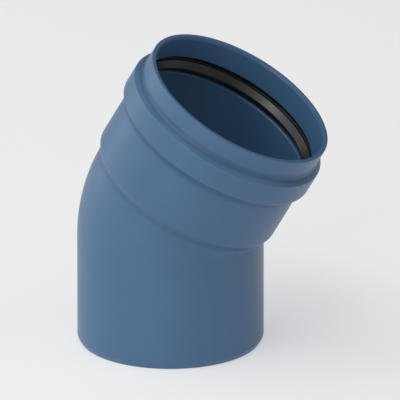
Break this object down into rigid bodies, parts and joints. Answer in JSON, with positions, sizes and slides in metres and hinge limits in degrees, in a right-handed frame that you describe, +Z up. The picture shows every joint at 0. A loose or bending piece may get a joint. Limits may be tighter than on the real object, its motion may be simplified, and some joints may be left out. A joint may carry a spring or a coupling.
{
  "type": "drain pipe bend",
  "caption": "Push-fit drain bend of 30 degrees: plain spigot, socket with an outside bead, and a lip seal in the bead's groove.",
  "frame": {"origin": "on the ground under the middle of the fitting's box, in its plane of symmetry; the spigot stands on the ground and its axis is 19.46 mm towards -X", "axes": "+Z up along the spigot, from its end towards the bend; the socket leans 30 degrees from +Z towards +X; the plane y = 0 is the plane of symmetry"},
  "size_m": [0.149, 0.1242, 0.1842],
  "materials": {
    "moulded_blue": "satin",
    "seal_rubber": "satin"
  },
  "bodies": {
    "root": {"bend_body": "moulded_blue", "lip_seal": "seal_rubber"}
  },
  "joints": []
}
